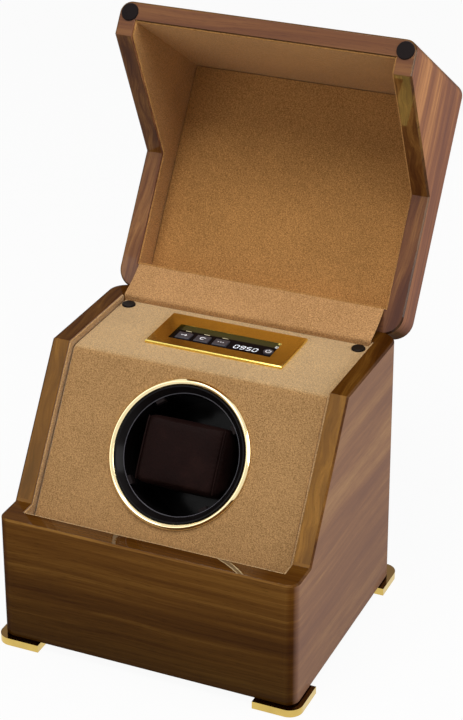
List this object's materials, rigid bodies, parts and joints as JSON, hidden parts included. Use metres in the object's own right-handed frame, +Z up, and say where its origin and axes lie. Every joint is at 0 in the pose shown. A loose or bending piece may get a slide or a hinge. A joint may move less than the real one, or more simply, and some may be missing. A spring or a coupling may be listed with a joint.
{
  "type": "watch winder box",
  "caption": "Lacquered walnut watch winder box with a hinged lid, tan lining, a motor-turned cup with a cushion behind a gold ring, and a small control panel with keys.",
  "frame": {"origin": "on the floor under the middle of the object's bounding box with the lid open", "axes": "+X to the right, the front faces -Y, +Z up"},
  "size_m": [0.186, 0.2602, 0.3316],
  "materials": {
    "walnut_case": "high-gloss lacquered walnut",
    "walnut_lid": "high-gloss lacquered walnut",
    "inner_wood": "plain sawn wood",
    "panel_fabric": "short-pile tan fabric",
    "lid_fabric": "short-pile tan fabric",
    "hinge_fabric": "short-pile tan fabric",
    "foot_brass": "polished",
    "ring_gold": "polished pale gold",
    "bezel_brass": "satin with a polished edge",
    "cup_black": "gloss black",
    "nub_rubber": "matt black",
    "cap_black": "matt black",
    "cushion_leather": "soft brown-black leatherette",
    "window_black": "gloss black",
    "key_black": "satin black",
    "hinge_steel": "bright",
    "screw_steel": "bright",
    "bridge_zinc": "zinc plated",
    "bush_bronze": "plain bronze",
    "shaft_steel": "ground",
    "gear_nylon": "natural nylon",
    "motor_case": "plated",
    "tray_plastic": "black",
    "board_green": "green laminate",
    "display_dark": "dark",
    "inlet_plastic": "black"
  },
  "bodies": {
    "case": {"base_case": "walnut_case", "left_rail": "inner_wood", "right_rail": "inner_wood", "bottom_panel": "inner_wood", "fascia_board": "panel_fabric", "left_liner": "panel_fabric", "right_liner": "panel_fabric", "front_liner": "panel_fabric", "hinge_cloth": "hinge_fabric", "foot_front_left": "foot_brass", "foot_front_right": "foot_brass", "foot_back_left": "foot_brass", "foot_back_right": "foot_brass", "trim_ring": "ring_gold", "control_bezel": "bezel_brass", "panel_screws": "cap_black", "display_lens": "window_black", "hinge_base_leaf_left": "hinge_steel", "hinge_base_leaf_right": "hinge_steel", "hinge_pins": "hinge_steel", "hinge_base_screws": "screw_steel", "bottom_screws": "screw_steel", "foot_screws": "screw_steel", "bridge_screws": "screw_steel", "drive_bridge": "bridge_zinc", "shaft_bush": "bush_bronze", "motor_gearbox": "motor_case", "motor_can": "motor_case", "control_tray": "tray_plastic", "key_switches": "tray_plastic", "control_board": "board_green", "display_module": "display_dark", "power_inlet": "inlet_plastic"},
    "lid": {"lid_shell": "walnut_lid", "lid_top_lining": "lid_fabric", "lid_front_lining": "lid_fabric", "lid_back_lining": "lid_fabric", "lid_left_lining": "lid_fabric", "lid_right_lining": "lid_fabric", "lid_bumpers": "nub_rubber", "hinge_lid_leaf_left": "hinge_steel", "hinge_lid_leaf_right": "hinge_steel", "hinge_lid_screws": "screw_steel"},
    "rotor": {"rotor_cup": "cup_black", "cup_nubs": "nub_rubber", "rotor_shaft": "shaft_steel", "driven_gear": "gear_nylon"},
    "pinion": {"pinion_gear": "gear_nylon", "motor_shaft": "shaft_steel"},
    "cushion": {"watch_cushion": "cushion_leather"},
    "mode_key": {"mode_key": "key_black"},
    "turns_key": {"turns_key": "key_black"},
    "direction_key": {"direction_key": "key_black"},
    "power_key": {"power_key": "key_black"}
  },
  "joints": [
    {"name": "lid_hinge", "type": "hinge", "parent": "case", "child": "lid", "pos_m": [0, 0.0258, 0.161], "axis": [-1, 0, 0], "range_deg": [-122.8, 0], "deforming": ["hinge_cloth"]},
    {"name": "cup_spin", "type": "hinge", "parent": "case", "child": "rotor", "pos_m": [0, -0.07905, 0.11728], "axis": [0, -0.8377, 0.5461], "continuous": true},
    {"name": "pinion_spin", "type": "hinge", "parent": "case", "child": "pinion", "pos_m": [0, -0.09748, 0.08901], "axis": [0, -0.8377, 0.5461], "continuous": true},
    {"name": "cushion_slide", "type": "slide", "parent": "rotor", "child": "cushion", "axis": [0, -0.8377, 0.5461], "range_m": [0, 0.05]},
    {"name": "mode_key_press", "type": "slide", "parent": "case", "child": "mode_key", "axis": [0, 0, -1], "range_m": [0, 0.0006], "stiffness_N_per_m": 400, "springref_m": -0.0006},
    {"name": "turns_key_press", "type": "slide", "parent": "case", "child": "turns_key", "axis": [0, 0, -1], "range_m": [0, 0.0006], "stiffness_N_per_m": 400, "springref_m": -0.0006},
    {"name": "direction_key_press", "type": "slide", "parent": "case", "child": "direction_key", "axis": [0, 0, -1], "range_m": [0, 0.0006], "stiffness_N_per_m": 400, "springref_m": -0.0006},
    {"name": "power_key_press", "type": "slide", "parent": "case", "child": "power_key", "axis": [0, 0, -1], "range_m": [0, 0.0006], "stiffness_N_per_m": 400, "springref_m": -0.0006}
  ],
  "couplings": [
    {"joint": "pinion_spin", "follows": "cup_spin", "ratio": -4}
  ]
}
